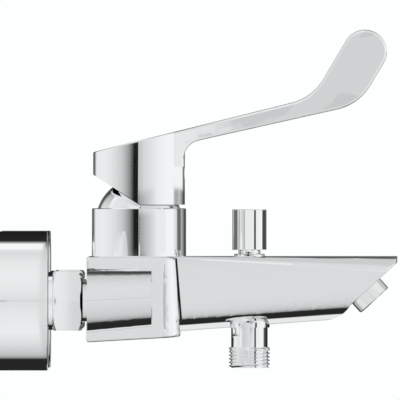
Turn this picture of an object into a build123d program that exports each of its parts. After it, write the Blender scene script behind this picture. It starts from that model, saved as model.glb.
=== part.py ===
from build123d import *
import math
import os

os.makedirs("parts", exist_ok=True)

# Single-lever bath mixer for a wall, millimetres. The wall is the plane x = 0, the spout points along +X,
# and both inlets lie at z = 0. Left and right are named as seen by someone who faces the wall.

# Wall connection: standard pipe threads on 150 mm centres
inlet_half = 75.0
wall_thread_r = 10.48
wall_thread_len = 18.0
union_drop = 6.0
union_thread_r = 13.2
union_end_x = 29.0
escutcheon_r = 35.2
escutcheon_depth = 25.2
escutcheon_wall = 1.2
nut_flats = 30.0
nut_start_x = 25.4
nut_hex_x = 27.5
nut_end_x = 42.8
nut_lip_x = 33.6
nipple_r = 10.5
nipple_thread_r = 10.0
nipple_flange_x = 31.2
nipple_flange_r = 12.9
nipple_end_x = 56.0
nipple_bore_r = 7.6

# Body: cross bar, inlet elbows, centre block and tower
block_back = 44.1
block_side_end = 83.0
block_half = 27.0
block_top = 22.4
elbow_back = 44.9
elbow_front = 77.5
elbow_back_r = 16.35
elbow_front_r = 14.75
elbow_rise = 1.7
tower_x = 70.9
tower_r = 24.0
tower_top = 46.8
seat_z = 10.0
chamber_r = 17.6
nut_bore_r = 20.9
nut_bore_z = 32.0

# Cartridge: ports as (forward, sideways, radius) from the tower axis, and the heights of the stack
inlet_ports = ((5.0, 7.0, 3.2), (5.0, -7.0, 3.2))
outlet_port = (-6.5, 0.0, 4.2)
ports = inlet_ports + (outlet_port,)
base_top = 14.5
fixed_disc_top = 17.5
moving_disc_top = 20.0
carrier_top = 26.0
core_bottom = 26.2
core_flange_top = 30.9
housing_roof = 31.0
housing_shoulder = 33.0
housing_neck_top = 41.0
core_top = 45.0
housing_inner_r = 15.8
core_neck_r = 10.5
neck_r = 12.6

# Spout: length, aerator face and the diverter's own axis
spout_root = 80.0
spout_tip = 202.5
root_half = 19.5
tip_half = 18.0
keel_root_z = -17.45
keel_rise = 0.075
keel_slope = 18.0
spout_wall = 3.0
face_tilt = 42.5
aerator_x = 186.6
aerator_z = 4.7
aerator_r = 9.6
aerator_out = 6.6
aerator_thread_r = 8.6
aerator_socket = 8.2
diverter_x = 127.2
hose_thread_r = 10.48
hose_neck_r = 9.3
hose_end_z = -34.6
hose_neck_z = -24.0
hose_boss_r = 10.3
hose_boss_z = -14.0
valve_bore_r = 8.6
lower_seat_z = -8.0
upper_seat_z = 8.0
upper_seat_top = 11.0
rod_r = 2.5
knob_r = 8.7
knob_bottom = 25.5
knob_top = 46.2

# Lever: pivot, free angle and the outline of cap, arm and paddle
pivot_z = 40.1
lever_lean = 12.5
finger_len = 16.6
ball_r = 3.2
stem_side = 8.0
stem_top = 36.0
dome_r = 22.0
cap_r = 23.4
cap_bottom = 48.6
cap_front_top = (96.9, 87.7)
cap_slope = 14.0
back_cut = 32.6
blade_slope = 59.3
blade_len = 45.0
blade_width = 22.4
arm_bend_r = 26.0
lever_cavity_r = 22.5
running_gap = 0.05

lean = math.radians(lever_lean)
tilt = math.radians(face_tilt)
stem_plane = Plane(origin=(tower_x, 0, pivot_z), x_dir=(math.cos(lean), 0, -math.sin(lean)),
                   z_dir=(math.sin(lean), 0, math.cos(lean)))
aerator_section = Plane(origin=(aerator_x, 0, aerator_z), x_dir=(0, 1, 0),
                        z_dir=(-math.cos(tilt), 0, -math.sin(tilt)))
aerator_plane = Plane(origin=(aerator_x, 0, aerator_z), x_dir=(0, 1, 0),
                      z_dir=(math.sin(tilt), 0, -math.cos(tilt)))


def save(builder, name):
    """Label a finished piece and write its file."""
    builder.part.label = name
    export_step(builder.part, "parts/" + name + ".step")


def turned(points, axis_x):
    """Turn a closed (radius, height) outline about the upright axis at x = axis_x."""
    with BuildPart() as ring:
        with BuildSketch(Plane(origin=(axis_x, 0, 0), x_dir=(1, 0, 0), z_dir=(0, -1, 0))):
            with BuildLine():
                Polyline(*points, close=True)
            make_face()
        revolve(axis=Axis((axis_x, 0, 0), (0, 0, 1)))
    return ring


def turned_along_x(points, y):
    """Turn a closed (x, radius) outline about the axis along X at side y."""
    with BuildPart() as ring:
        with BuildSketch(Plane(origin=(0, y, 0), x_dir=(1, 0, 0), z_dir=(0, -1, 0))):
            with BuildLine():
                Polyline(*points, close=True)
            make_face()
        revolve(axis=Axis((0, y, 0), (1, 0, 0)))
    return ring


def turned_in_aerator(points):
    """Turn a closed (radius, distance outwards) outline about the aerator's axis."""
    with BuildPart() as ring:
        with BuildSketch(aerator_section):
            with BuildLine():
                Polyline(*points, close=True)
            make_face()
        revolve(axis=Axis(aerator_plane.origin, aerator_plane.z_dir))
    return ring


wire_flats = 8


def o_ring(centre, ring_r, wire_r):
    """Seal ring lying flat round a centre point; its section is drawn with eight flats."""
    centre_x, centre_y, centre_z = centre
    with BuildPart() as ring:
        with BuildSketch(Plane.XZ.offset(-centre_y)):
            with Locations((centre_x + ring_r, centre_z)):
                RegularPolygon(wire_r, wire_flats, rotation=180 / wire_flats)
        revolve(axis=Axis((centre_x, centre_y, 0), (0, 0, 1)))
    return ring


def coil_spring(axis_x, low, high, mean_r, wire_r, turns):
    """Wire spring about the upright axis at x = axis_x, from low to high; its wire has eight flats."""
    rise = high - low - 2 * wire_r
    with BuildPart() as spring:
        with BuildLine():
            path = Helix(pitch=rise / turns, height=rise, radius=mean_r, center=(axis_x, 0, low + wire_r))
        with BuildSketch(Plane(origin=path @ 0, z_dir=path % 0)):
            RegularPolygon(wire_r, wire_flats)
        sweep(is_frenet=True)
    return spring


# Escutcheons: deep round covers of sheet brass, open to the wall
def escutcheon(side):
    inner_r = escutcheon_r - escutcheon_wall
    inside_x = escutcheon_depth - escutcheon_wall
    turned_cover = turned_along_x(
        [(0, inner_r), (0, escutcheon_r), (escutcheon_depth, escutcheon_r),
         (escutcheon_depth, union_thread_r), (inside_x, union_thread_r), (inside_x, inner_r)],
        side * inlet_half)
    with BuildPart() as cover:
        add(turned_cover.part)
        rim = cover.edges().filter_by(GeomType.CIRCLE).group_by(Axis.X)[-1].sort_by(SortBy.RADIUS)[-1]
        fillet(rim, radius=1.1)
    return cover


# Eccentric wall unions: the wall thread lies lower than the mixer thread, so a turn sets the inlet centres
def eccentric_union(side):
    y = side * inlet_half
    shoulder_x = 3.0
    offset_end_x = 13.0
    wall_bore_r = 7.5
    mixer_bore_r = 9.0
    wall_centre = (y, -union_drop)
    mixer_centre = (y, 0)
    with BuildPart() as union:
        with BuildSketch(Plane.YZ.offset(-wall_thread_len)):
            with Locations(wall_centre):
                Circle(wall_thread_r)
        extrude(amount=wall_thread_len + shoulder_x)
        chamfer(union.edges().filter_by(GeomType.CIRCLE).sort_by(Axis.X)[0], length=1.2)
        with BuildSketch(Plane.YZ.offset(shoulder_x)):
            with Locations(wall_centre):
                Circle(wall_thread_r + 1.2)
        with BuildSketch(Plane.YZ.offset(offset_end_x)):
            with Locations(mixer_centre):
                Circle(union_thread_r)
        loft(ruled=True)
        with BuildSketch(Plane.YZ.offset(offset_end_x)):
            with Locations(mixer_centre):
                Circle(union_thread_r)
        extrude(amount=union_end_x - offset_end_x)
        with BuildSketch(Plane.YZ.offset(-wall_thread_len)):
            with Locations(wall_centre):
                Circle(wall_bore_r)
        extrude(amount=wall_thread_len + shoulder_x, mode=Mode.SUBTRACT)
        with BuildSketch(Plane.YZ.offset(shoulder_x)):
            with Locations(wall_centre):
                Circle(wall_bore_r)
        with BuildSketch(Plane.YZ.offset(offset_end_x)):
            with Locations(mixer_centre):
                Circle(mixer_bore_r)
        loft(ruled=True, mode=Mode.SUBTRACT)
        with BuildSketch(Plane.YZ.offset(offset_end_x)):
            with Locations(mixer_centre):
                Circle(mixer_bore_r)
        extrude(amount=union_end_x - offset_end_x, mode=Mode.SUBTRACT)
    return union


# Union nuts: hexagon with chamfered corners behind a short round collar, with an inner lip at the mixer end
def union_nut(side):
    y = side * inlet_half
    half_flats = nut_flats / 2
    corner_r = half_flats / math.cos(math.radians(30))
    corners = turned_along_x(
        [(nut_hex_x, 0), (nut_hex_x, half_flats - 0.7), (nut_hex_x + 2.0, corner_r),
         (nut_end_x - 2.4, corner_r), (nut_end_x, half_flats - 1.1), (nut_end_x, 0)], y)
    with BuildPart() as nut:
        with BuildSketch(Plane.YZ.offset(nut_hex_x)):
            with Locations((y, 0)):
                RegularPolygon(half_flats, 6, major_radius=False)
        extrude(amount=nut_end_x - nut_hex_x)
        add(corners.part, mode=Mode.INTERSECT)
        with BuildSketch(Plane.YZ.offset(nut_start_x)):
            with Locations((y, 0)):
                Circle(half_flats - 0.3)
        extrude(amount=nut_hex_x - nut_start_x)
        with BuildSketch(Plane.YZ.offset(nut_start_x)):
            with Locations((y, 0)):
                Circle(union_thread_r)
        extrude(amount=nut_lip_x - nut_start_x, mode=Mode.SUBTRACT)
        with BuildSketch(Plane.YZ.offset(nut_lip_x)):
            with Locations((y, 0)):
                Circle(nipple_r + 0.2)
        extrude(amount=nut_end_x - nut_lip_x, mode=Mode.SUBTRACT)
    return nut


# Inlet nipples: flange behind the nut's lip, thread into the body, and a hexagon inside for the key
def inlet_nipple(side):
    key_start_x = 48.0
    key_flats = 12.0
    y = side * inlet_half
    turned_nipple = turned_along_x(
        [(nipple_flange_x, nipple_bore_r), (nipple_flange_x, nipple_flange_r), (nut_lip_x, nipple_flange_r),
         (nut_lip_x, nipple_r), (elbow_back, nipple_r), (elbow_back, nipple_thread_r),
         (nipple_end_x, nipple_thread_r), (nipple_end_x, nipple_bore_r)], y)
    with BuildPart() as nipple:
        add(turned_nipple.part)
        with BuildSketch(Plane.YZ.offset(key_start_x)):
            with Locations((y, 0)):
                Circle(nipple_bore_r + 0.3)
                RegularPolygon(key_flats / 2, 6, major_radius=False, mode=Mode.SUBTRACT)
        extrude(amount=nipple_end_x - key_start_x)
    return nipple


# Inlet washers, and the strainers that sit in their middle
washer_hole_r = 8.4


def inlet_washer(side):
    return turned_along_x(
        [(union_end_x, washer_hole_r), (union_end_x, nipple_flange_r), (nipple_flange_x, nipple_flange_r),
         (nipple_flange_x, washer_hole_r)], side * inlet_half)


def inlet_strainer(side):
    with BuildPart() as sieve:
        with BuildSketch(Plane.YZ.offset(union_end_x + 0.8)):
            with Locations((side * inlet_half, 0)):
                Circle(washer_hole_r)
                Circle(1.2, mode=Mode.SUBTRACT)
                with PolarLocations(4.6, 6):
                    Circle(1.5, mode=Mode.SUBTRACT)
        extrude(amount=0.6)
    return sieve


for side, name in ((1, "left"), (-1, "right")):
    save(escutcheon(side), "escutcheon_" + name)
    save(eccentric_union(side), "eccentric_union_" + name)
    save(union_nut(side), "union_nut_" + name)
    save(inlet_nipple(side), "inlet_nipple_" + name)
    save(inlet_washer(side), "inlet_washer_" + name)
    save(inlet_strainer(side), "inlet_strainer_" + name)


# Spout form: a loft between two cross-sections with a flat top, upright sides and a shallow keel below.
# The same sections, drawn in by the wall thickness, make the waterway inside.
knee_r = 12.0
keel_r = 12.0
facet_start_x = 72.3
facet_growth = 0.047


def spout_section(x, inset=0.0):
    """Cross-section of the spout at x, drawn in by inset; the chamfers on top widen towards the tip."""
    along = (x - spout_root) / (spout_tip - spout_root)
    half = root_half + (tip_half - root_half) * along - inset
    top = block_top - inset
    chamfer_size = facet_growth * (x - facet_start_x)
    keel = keel_root_z + keel_rise * (x - spout_root) + inset
    knee = keel + half * math.tan(math.radians(keel_slope))
    right_side = [(half, knee), (half, top - chamfer_size), (half - chamfer_size, top)]
    left_side = [(-y, z) for y, z in reversed(right_side)]
    soft_r = chamfer_size * 0.9
    radii = [keel_r - inset, knee_r - inset, soft_r, soft_r, soft_r, soft_r, knee_r - inset]
    with BuildSketch(Plane.YZ.offset(x)) as section:
        with BuildLine():
            FilletPolyline((0, keel), *right_side, *left_side, radius=radii, close=True)
        make_face()
    return section.sketch


def face_height(x):
    """Height of the slanted aerator face at x."""
    return aerator_z + (x - aerator_x) * math.tan(tilt)


loft_end = spout_tip + 4.0
heel = (178.5, face_height(178.5))
heel_middle = (173.5, -7.9)
belly_end = (166.5, -10.3)
nose_r = 7.0
nose_half = tip_half + 0.1

with BuildPart() as spout_form:
    loft([spout_section(spout_root), spout_section(loft_end)], ruled=True)
    # side outline: level top, short upright nose, aerator face, rounded heel into the belly
    with BuildSketch(Plane.XZ):
        with BuildLine():
            Polyline((belly_end[0], -20), (70, -20), (70, block_top), (spout_tip, block_top),
                     (spout_tip, face_height(spout_tip)), heel)
            ThreePointArc(heel, heel_middle, belly_end)
            Line(belly_end, (belly_end[0], -20))
        make_face()
    extrude(amount=30, both=True, mode=Mode.INTERSECT)
    # plan outline: rounded nose
    arc_x = spout_tip - nose_r
    arc_y = nose_half - nose_r
    diagonal = nose_r * math.sqrt(0.5)
    with BuildSketch(Plane.XY.offset(-30)):
        with BuildLine():
            Polyline((arc_x, nose_half), (arc_x, 30), (60, 30), (60, -30), (arc_x, -30),
                     (arc_x, -nose_half))
            ThreePointArc((arc_x, -nose_half), (arc_x + diagonal, -arc_y - diagonal), (spout_tip, -arc_y))
            Line((spout_tip, -arc_y), (spout_tip, arc_y))
            ThreePointArc((spout_tip, arc_y), (arc_x + diagonal, arc_y + diagonal), (arc_x, nose_half))
        make_face()
    extrude(amount=60, mode=Mode.INTERSECT)
    fillet(spout_form.faces().filter_by(aerator_plane)[0].edges(), radius=0.6)

# Waterway: from behind the block's front wall to the aerator. The diverter's post and its cross web stay
# solid, so the water can only pass through the valve.
aerator_back = 9.5
web = 4.0
with BuildPart() as waterway:
    loft([spout_section(spout_root, spout_wall), spout_section(loft_end, spout_wall)], ruled=True)
    nose_x = aerator_x - aerator_back * math.sin(tilt)
    nose_z = aerator_z + aerator_back * math.cos(tilt)
    run = 1 / math.tan(tilt)
    with BuildSketch(Plane.XZ):
        with BuildLine():
            Polyline((spout_root, -16), (spout_root, 4), (91, 4), (99, 20),
                     (nose_x + (20 - nose_z) * run, 20), (nose_x - (nose_z + 9) * run, -9), (140, -16),
                     close=True)
        make_face()
    extrude(amount=30, both=True, mode=Mode.INTERSECT)
    with BuildSketch(Plane.XY.offset(-20)):
        with Locations((diverter_x, 0)):
            Circle(valve_bore_r + 3.0)
            Rectangle(web, 60)
    extrude(amount=50, mode=Mode.SUBTRACT)


def inlet_elbow(side):
    """Cast elbow for the inlet nipple: level on top, with an underside that rises towards the front."""
    y = side * inlet_half
    with BuildPart() as elbow:
        with BuildSketch(Plane.YZ.offset(elbow_back)):
            with Locations((y, 0.1)):
                Circle(elbow_back_r)
        with BuildSketch(Plane.YZ.offset(elbow_front)):
            with Locations((y, elbow_rise)):
                Circle(elbow_front_r)
        loft(ruled=True)
    return elbow


def block_plan(z, corner_r):
    """Plan of the block at height z: crisp corners at the wall side, round ones where the spout starts."""
    front = block_side_end + corner_r
    with BuildSketch(Plane.XY.offset(z)) as plan:
        with Locations(((block_back + front) / 2, 0)):
            Rectangle(front - block_back, 2 * block_half)
        fillet(plan.vertices().sort_by(Axis.X)[-2:], radius=corner_r)
        fillet(plan.vertices().sort_by(Axis.X)[:2], radius=1.0)
    return plan.sketch


def round_bar(plane, centre, radius, length):
    """Plain round bar that stands on a plane: the shape of a drilled hole or a round post."""
    with BuildPart() as bar:
        with BuildSketch(plane):
            with Locations(centre):
                Circle(radius)
        extrude(amount=length)
    return bar.part


# Valve body: one hollow brass casting, chromed. The cross bar joins both elbows behind the centre block,
# the tower holds the cartridge, and the spout carries the diverter post and the aerator socket.
channel_x = 66.0
channel_r = 5.0
inlet_port_x = tower_x + inlet_ports[0][0]
outlet_x = tower_x + outlet_port[0]
outlet_z = -10.0
tower = turned(
    [(0, block_top - 1), (tower_r, block_top - 1), (tower_r, tower_top - 0.4), (tower_r - 0.4, tower_top),
     (0, tower_top)], tower_x)
channel_gap = 12.0
elbow_bore_r = 7.0
peg_y = 13.0
peg_r = 1.6
seal_recess_r = 9.3
seal_recess = 1.0
gland_r = 6.0
window_r = 3.4


def inlet_holes(side):
    """Bores on one side: peg hole, nipple thread, elbow, cross channel, the step forward, and the port."""
    y = side * inlet_half
    channel_len = inlet_half - channel_gap / 2
    channel_start = channel_gap / 2 if side > 0 else -inlet_half
    forward, sideways, port_r = inlet_ports[0]
    return [
        (Plane.XY.offset(seat_z - 2.2), (tower_x, side * peg_y), peg_r + 0.1, 3.0),
        (Plane.YZ.offset(elbow_back - 1), (y, 0), nipple_thread_r, nipple_end_x - elbow_back + 1),
        (Plane.YZ.offset(nipple_end_x - 1), (y, 0), elbow_bore_r, channel_x - nipple_end_x + 4),
        (Plane.ZX.offset(channel_start), (0, channel_x), channel_r, channel_len),
        (Plane.YZ.offset(channel_x - 3), (side * 9.4, 0), port_r + 0.4, inlet_port_x - channel_x + 3),
        (Plane.XY.offset(-1), (inlet_port_x, side * sideways), port_r, seat_z + 2)]


# Cartridge chamber and nut bore, then the mixed water's way down and forward to the spout
tower_holes = [
    (Plane.XY.offset(seat_z), (tower_x, 0), chamber_r, tower_top - seat_z),
    (Plane.XY.offset(nut_bore_z), (tower_x, 0), nut_bore_r, tower_top - nut_bore_z),
    (Plane.XY.offset(outlet_z), (outlet_x, 0), outlet_port[2], seat_z - outlet_z + 1),
    (Plane.YZ.offset(outlet_x - 2), (0, outlet_z), 3.9, spout_root + 4 - outlet_x)]

# Diverter post: valve chamber and seal recess from below, upper chamber, gland hole, one window each way
valve_holes = [
    (Plane.XY.offset(hose_boss_z), (diverter_x, 0), valve_bore_r, upper_seat_top - hose_boss_z),
    (Plane.XY.offset(hose_boss_z), (diverter_x, 0), seal_recess_r, seal_recess),
    (Plane.XY.offset(upper_seat_top - 1), (diverter_x, 0), 7.4, 8.0),
    (Plane.XY.offset(18), (diverter_x, 0), gland_r, 6.0),
    (Plane.YZ.offset(diverter_x - 16), (0, 3.5), window_r, 14.0),
    (Plane.YZ.offset(diverter_x + 3), (0, 14.8), window_r - 0.4, 14.0)]

# Aerator socket and the hole behind it
aerator_holes = [
    (aerator_plane.offset(-aerator_socket), (0, 0), aerator_thread_r, aerator_socket + 4),
    (aerator_plane.offset(-aerator_socket - 9), (0, 0), 6.4, 10.0)]

with BuildPart() as valve_body:
    loft([block_plan(-23.0, 9.4), block_plan(block_top, 6.6)], ruled=True)
    # the underside rises towards the spout
    with BuildSketch(Plane.XZ):
        with BuildLine():
            Polyline((40, -21.7), (100, -18.3), (100, 30), (40, 30), close=True)
        make_face()
    extrude(amount=block_half + 5, both=True, mode=Mode.INTERSECT)
    fillet(valve_body.faces().sort_by(Axis.Z)[0].edges(), radius=1.6)
    fillet(valve_body.faces().sort_by(Axis.Z)[-1].edges(), radius=2.2)
    # cross bar with an elbow at each end
    with BuildSketch(Plane.XZ.offset(-inlet_half)):
        with Locations(((elbow_back + elbow_front) / 2, 1.0)):
            RectangleRounded(elbow_front - elbow_back - 2.2, 27.0, 9.0)
    extrude(amount=2 * inlet_half)
    for side in (1, -1):
        add(inlet_elbow(side).part)
    add(spout_form.part)
    add(tower.part)
    with BuildSketch(Plane.XY.offset(hose_boss_z)):
        with Locations((diverter_x, 0)):
            Circle(hose_boss_r)
    extrude(amount=10)
    add(waterway.part, mode=Mode.SUBTRACT)
    for plane, centre, radius, length in (
            tower_holes + inlet_holes(1) + inlet_holes(-1) + valve_holes + aerator_holes):
        add(round_bar(plane, centre, radius, length), mode=Mode.SUBTRACT)
save(valve_body, "valve_body")


# Cartridge base: snaps into the housing, its pegs fix it to the body, its ports line up with the channels
def ring_set(low, high, inner_extra, outer_extra):
    """One flat seal round each port, between two heights."""
    with BuildPart() as rings:
        with BuildSketch(Plane.XY.offset(low)):
            for forward, sideways, radius in ports:
                with Locations((tower_x + forward, sideways)):
                    Circle(radius + outer_extra)
                    Circle(radius + inner_extra, mode=Mode.SUBTRACT)
        extrude(amount=high - low)
    return rings


seal_depth = 1.5
with BuildPart() as cartridge_base:
    with BuildSketch(Plane.XY.offset(seat_z)):
        with Locations((tower_x, 0)):
            Circle(chamber_r - 0.1)
    extrude(amount=base_top - seat_z - 1.2)
    with BuildSketch(Plane.XY.offset(base_top - 1.2)):
        with Locations((tower_x, 0)):
            Circle(housing_inner_r)
    extrude(amount=1.2)
    for side in (1, -1):
        with BuildSketch(Plane.XY.offset(seat_z - 2.0)):
            with Locations((tower_x, side * peg_y)):
                Circle(peg_r)
        extrude(amount=2.0)
    for forward, sideways, port_r in ports:
        centre = (tower_x + forward, sideways)
        for low, radius, length in ((seat_z, port_r, base_top - seat_z), (seat_z, port_r + 1.2, seal_depth),
                                    (base_top - seal_depth, port_r + 1.2, seal_depth)):
            add(round_bar(Plane.XY.offset(low), centre, radius, length), mode=Mode.SUBTRACT)
save(cartridge_base, "cartridge_base")
save(ring_set(seat_z, seat_z + seal_depth, 0.0, 1.2), "port_seals")
save(ring_set(base_top - seal_depth, base_top, 0.0, 1.2), "disc_seals")

# Ceramic discs: the fixed one has the three ports, the moving one a pocket that joins them when it slides
with BuildPart() as fixed_disc:
    with BuildSketch(Plane.XY.offset(base_top)):
        with Locations((tower_x, 0)):
            Circle(14.0)
        for forward, sideways, radius in ports:
            with Locations((tower_x + forward, sideways)):
                Circle(radius, mode=Mode.SUBTRACT)
    extrude(amount=fixed_disc_top - base_top)
save(fixed_disc, "fixed_disc")

stroke = 2 * finger_len * math.sin(lean)
rest_x = tower_x - stroke / 2
disc_r = 11.5
with BuildPart() as moving_disc:
    with BuildSketch(Plane.XY.offset(fixed_disc_top)):
        with Locations((rest_x, 0)):
            Circle(disc_r)
    extrude(amount=moving_disc_top - fixed_disc_top)
    with BuildSketch(Plane.XY.offset(fixed_disc_top)):
        with Locations((rest_x - 1.2, 0)):
            SlotOverall(13.0, 10.0)
    extrude(amount=1.5, mode=Mode.SUBTRACT)
save(moving_disc, "moving_disc")

# Disc carrier: grips the moving disc, slides in the core's groove, and takes the lever's ball in a socket
key_half = 6.0
key_top = 28.2
with BuildPart() as disc_carrier:
    with BuildSketch(Plane.XY.offset(moving_disc_top)):
        with Locations((rest_x, 0)):
            Circle(disc_r)
    extrude(amount=carrier_top - moving_disc_top)
    with BuildSketch(Plane.XY.offset(carrier_top)):
        with Locations((rest_x, 0)):
            Rectangle(15.0, 2 * key_half)
    extrude(amount=key_top - carrier_top)
    socket_low = Plane.XY.offset(moving_disc_top + 0.2)
    add(round_bar(socket_low, (rest_x, 0), ball_r + 0.06, 10), mode=Mode.SUBTRACT)
save(disc_carrier, "disc_carrier")

# Turning core: turns in the housing's neck, guides the carrier and holds the spindle's pin
pin_r = 1.5
core_lower = turned(
    [(0, core_bottom), (housing_inner_r - 0.1, core_bottom), (housing_inner_r - 0.1, core_flange_top),
     (core_neck_r, core_flange_top), (core_neck_r, core_top - 0.6), (core_neck_r - 0.6, core_top),
     (0, core_top)], tower_x)
with BuildPart() as turning_core:
    add(core_lower.part)
    with BuildSketch(Plane.XY.offset(core_bottom)):
        with Locations((tower_x, 0)):
            Rectangle(40, 2 * (key_half + running_gap))
    extrude(amount=key_top + 0.2 - core_bottom, mode=Mode.SUBTRACT)
    with BuildSketch(Plane.XY.offset(core_bottom)):
        with Locations((tower_x, 0)):
            Rectangle(17.0, 6.1)
    extrude(amount=core_top - core_bottom, mode=Mode.SUBTRACT)
    add(round_bar(Plane.XZ.offset(-15), (tower_x, pivot_z), pin_r, 30), mode=Mode.SUBTRACT)
save(turning_core, "turning_core")

with BuildPart() as spindle_pin:
    with BuildSketch(Plane.XZ.offset(-core_neck_r + 0.2)):
        with Locations((tower_x, pivot_z)):
            Circle(pin_r)
    extrude(amount=2 * core_neck_r - 0.4)
save(spindle_pin, "spindle_pin")

# Lever spindle: square stem, flat eye on the pin, finger and ball below
with BuildPart() as lever_spindle:
    with BuildSketch(stem_plane.offset(6.5)):
        Rectangle(stem_side, stem_side)
    extrude(amount=stem_top - 6.5)
    fillet(lever_spindle.edges().filter_by(Axis(stem_plane.origin, stem_plane.z_dir)), radius=0.6)
    chamfer(lever_spindle.faces().sort_by(Axis.Z)[-1].edges(), length=0.6)
    with BuildSketch(stem_plane.offset(-6.5)):
        Rectangle(stem_side, 6.0)
    extrude(amount=13.0)
    with BuildSketch(stem_plane.offset(-finger_len)):
        Circle(2.3)
    extrude(amount=finger_len - 6.5)
    with Locations(stem_plane.offset(-finger_len).location):
        Sphere(ball_r)
    add(round_bar(Plane.XZ.offset(-10), (tower_x, pivot_z), pin_r + running_gap, 20), mode=Mode.SUBTRACT)
save(lever_spindle, "lever_spindle")

# Cartridge housing: plastic shell with a shoulder under the nut, a neck round the core, and a raised arc
# that stops the turning ring at both ends
stop_half = 118.0
shell_r = chamber_r - 0.1
neck_bore_r = core_neck_r + running_gap
housing_shell = turned(
    [(housing_inner_r, base_top - 1.2), (shell_r, base_top - 1.2), (shell_r, housing_shoulder),
     (neck_r, housing_shoulder), (neck_r, housing_neck_top), (neck_bore_r, housing_neck_top),
     (neck_bore_r, housing_roof), (housing_inner_r, housing_roof)], tower_x)
with BuildPart() as cartridge_housing:
    add(housing_shell.part)
    with BuildSketch(Plane.XY.offset(housing_neck_top)):
        with BuildLine():
            inner = CenterArc((tower_x, 0), core_neck_r + 0.3, -stop_half, 2 * stop_half)
            outer = CenterArc((tower_x, 0), neck_r, -stop_half, 2 * stop_half)
            Line(inner @ 0, outer @ 0)
            Line(inner @ 1, outer @ 1)
        make_face()
    extrude(amount=1.8)
save(cartridge_housing, "cartridge_housing")

# Temperature stop ring: pressed on the core, its lug runs between the ends of the housing's arc
ring_bottom = housing_neck_top + 2.0
with BuildPart() as stop_ring:
    with BuildSketch(Plane.XY.offset(ring_bottom)):
        with Locations((tower_x, 0)):
            Circle(neck_r)
            Circle(core_neck_r, mode=Mode.SUBTRACT)
    extrude(amount=1.2)
    with BuildSketch(Plane.XY.offset(housing_neck_top + 0.2)):
        with BuildLine():
            inner = CenterArc((tower_x, 0), core_neck_r, 170, 20)
            outer = CenterArc((tower_x, 0), neck_r, 170, 20)
            Line(inner @ 0, outer @ 0)
            Line(inner @ 1, outer @ 1)
        make_face()
    extrude(amount=2.0)
save(stop_ring, "temperature_stop_ring")

# Cartridge nut: threaded ring that presses on the housing's shoulder, with a hexagon for the spanner
nut_thread_top = 39.0
nut_top = 42.5
with BuildPart() as cartridge_nut:
    with BuildSketch(Plane.XY.offset(housing_shoulder)):
        with Locations((tower_x, 0)):
            Circle(nut_bore_r)
    extrude(amount=nut_thread_top - housing_shoulder)
    with BuildSketch(Plane.XY.offset(nut_thread_top)):
        with Locations((tower_x, 0)):
            RegularPolygon(16.0, 6, major_radius=False)
    extrude(amount=nut_top - nut_thread_top)
    add(round_bar(Plane.XY.offset(housing_shoulder), (tower_x, 0), neck_r + 0.1, 12), mode=Mode.SUBTRACT)
save(cartridge_nut, "cartridge_nut")

# Dome cap: screwed into the tower, a ball zone about the lever's pivot that the lever cap rides over
skirt_low = 43.0
dome_wall = 1.4
dome_open_r = 12.6
sphere_low = tower_top - pivot_z
with BuildPart() as dome_cap:
    with BuildSketch(Plane(origin=(tower_x, 0, pivot_z), x_dir=(1, 0, 0), z_dir=(0, -1, 0))):
        with BuildLine():
            r_in = dome_r - dome_wall
            out_low = (math.sqrt(dome_r ** 2 - sphere_low ** 2), sphere_low)
            out_top = (dome_open_r, math.sqrt(dome_r ** 2 - dome_open_r ** 2))
            in_low = (nut_bore_r - dome_wall, math.sqrt(r_in ** 2 - (nut_bore_r - dome_wall) ** 2))
            in_top = (dome_open_r, math.sqrt(r_in ** 2 - dome_open_r ** 2))
            Line((nut_bore_r, skirt_low - pivot_z), (nut_bore_r, sphere_low))
            Line((nut_bore_r, sphere_low), out_low)
            RadiusArc(out_low, out_top, -dome_r)
            Line(out_top, in_top)
            RadiusArc(in_top, in_low, r_in)
            Line(in_low, (nut_bore_r - dome_wall, skirt_low - pivot_z))
            Line((nut_bore_r - dome_wall, skirt_low - pivot_z), (nut_bore_r, skirt_low - pivot_z))
        make_face()
    revolve(axis=Axis((tower_x, 0, 0), (0, 0, 1)))
save(dome_cap, "dome_cap")

# Lever: cast in one piece. The arm and paddle come from one side outline, narrowed in plan, and join a cap
# that is hollow from below round a socket for the stem.
slope = math.radians(cap_slope)


def cap_height(x):
    """Height of the sloping top of the cap and arm at x."""
    return cap_front_top[1] + (x - cap_front_top[0]) * math.tan(slope)


blade = math.radians(blade_slope)
cap_front = tower_x + cap_r
arm_start = 78.0
arm_end_x = cap_front - 0.6
bend_top = (159.2, cap_height(159.2))
tip_back = (bend_top[0] + blade_len * math.cos(blade), bend_top[1] + blade_len * math.sin(blade))
tip_front = (tip_back[0] + blade_width * math.sin(blade), tip_back[1] - blade_width * math.cos(blade))
bend_low = (183.1, 99.6)
arm_root = (arm_end_x, 79.6)
tip_r = blade_width / 2 - 0.1

with BuildPart() as arm_form:
    with BuildSketch(Plane.XZ.offset(-20)):
        with BuildLine():
            FilletPolyline((arm_start, cap_height(arm_start)), bend_top, tip_back, tip_front, bend_low,
                           arm_root, (arm_end_x, 68.0), radius=[arm_bend_r, tip_r, tip_r, arm_bend_r, 9.5])
            Polyline((arm_end_x, 68.0), (arm_start, 68.0), (arm_start, cap_height(arm_start)))
        make_face()
    extrude(amount=40)
    with BuildSketch(Plane.XY.offset(60)):
        with BuildLine():
            Spline((78, 19.0), (92, 14.0), (106, 9.4), (128, 7.0), (160, 5.8), (205, 5.2))
            Line((205, 5.2), (205, -5.2))
            Spline((205, -5.2), (160, -5.8), (128, -7.0), (106, -9.4), (92, -14.0), (78, -19.0))
            Line((78, -19.0), (78, 19.0))
        make_face()
    extrude(amount=90, mode=Mode.INTERSECT)
    long_edges = arm_form.edges().filter_by_position(Axis.Z, 72.5, 140).filter_by(
        lambda edge: abs(edge.center().Y) > 1 and edge.center().X > 79)
    fillet(long_edges, radius=1.3)

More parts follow.
